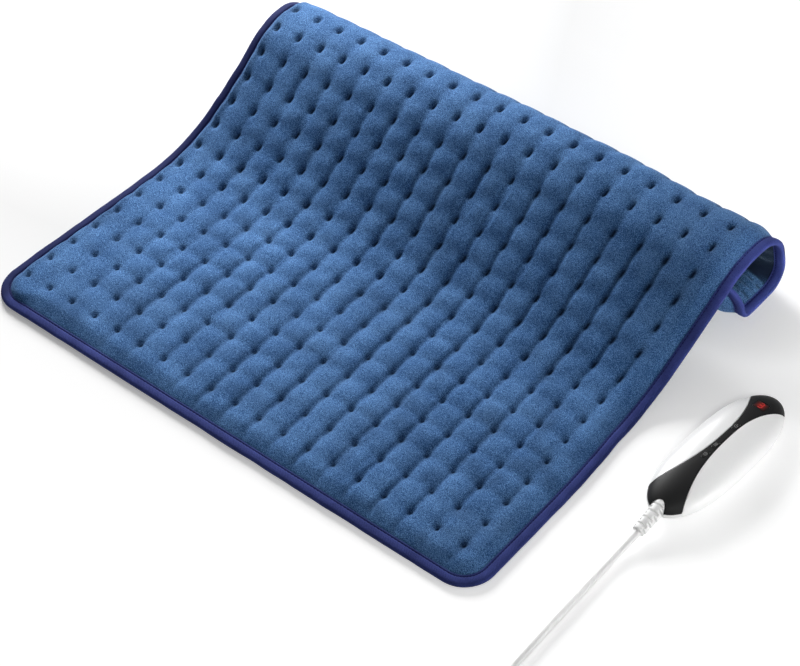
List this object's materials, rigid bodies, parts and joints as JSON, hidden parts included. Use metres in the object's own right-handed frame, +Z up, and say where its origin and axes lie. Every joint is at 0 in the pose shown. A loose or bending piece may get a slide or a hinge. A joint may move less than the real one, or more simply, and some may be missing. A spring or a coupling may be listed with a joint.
{
  "type": "heating pad with controller",
  "caption": "Quilted plush heating pad with a bound edge and its end rolled under, with an oval hand controller with push buttons and a digit display on a mains cord.",
  "frame": {"origin": "on the table, under the middle of the pad's width and 100 mm behind its front edge, in the flat underside", "axes": "+Z up from the table, +X across the pad's width towards the controller, +Y from the front edge towards the rolled end"},
  "size_m": [0.6775, 0.5543, 0.0769],
  "materials": {
    "plush": "microplush",
    "plush_back": "microplush",
    "binding": "woven tape",
    "felt": "needled felt",
    "wire_sheath": "silicone",
    "white_shell": "gloss",
    "black_fascia": "gloss",
    "smoked_window": "smoked clear",
    "button_black": "satin",
    "dark_plastic": "satin",
    "red_display": "satin",
    "board": "solder mask",
    "white_cord": "satin",
    "steel": "zinc plated",
    "brass": "nickel-free brass"
  },
  "bodies": {
    "base": {"top_cover": "plush", "bottom_cover": "plush_back", "wire_carrier": "felt", "heating_wire": "wire_sheath", "edge_binding": "binding", "thermal_cutout": "steel", "inlet_housing": "dark_plastic", "inlet_pin_left": "brass", "inlet_pin_right": "brass", "upper_shell": "white_shell", "lower_shell": "white_shell", "fascia": "black_fascia", "display_window": "smoked_window", "strain_relief": "white_cord", "power_switch": "steel", "heat_switch": "steel", "timer_switch": "steel", "circuit_board": "board", "led_digit_module": "red_display", "triac": "dark_plastic", "film_capacitor": "red_display", "fuse": "brass", "shell_screw_1": "steel", "shell_screw_2": "steel", "shell_screw_3": "steel", "shell_screw_4": "steel", "cord_run": "white_cord", "cord_coil": "white_cord", "cord_tie": "binding", "plug_body": "white_cord", "plug_blade_left": "brass", "plug_blade_right": "brass"},
    "power_key": {"power_button": "button_black"},
    "heat_key": {"heat_button": "button_black"},
    "timer_key": {"timer_button": "button_black"}
  },
  "joints": [
    {"name": "power_press", "type": "slide", "parent": "base", "child": "power_key", "axis": [0, 0, -1], "range_m": [0, 0.0006], "stiffness_N_per_m": 400, "springref_m": -0.0005},
    {"name": "heat_press", "type": "slide", "parent": "base", "child": "heat_key", "axis": [0, 0, -1], "range_m": [0, 0.0006], "stiffness_N_per_m": 400, "springref_m": -0.0005},
    {"name": "timer_press", "type": "slide", "parent": "base", "child": "timer_key", "axis": [0, 0, -1], "range_m": [0, 0.0006], "stiffness_N_per_m": 400, "springref_m": -0.0005}
  ]
}
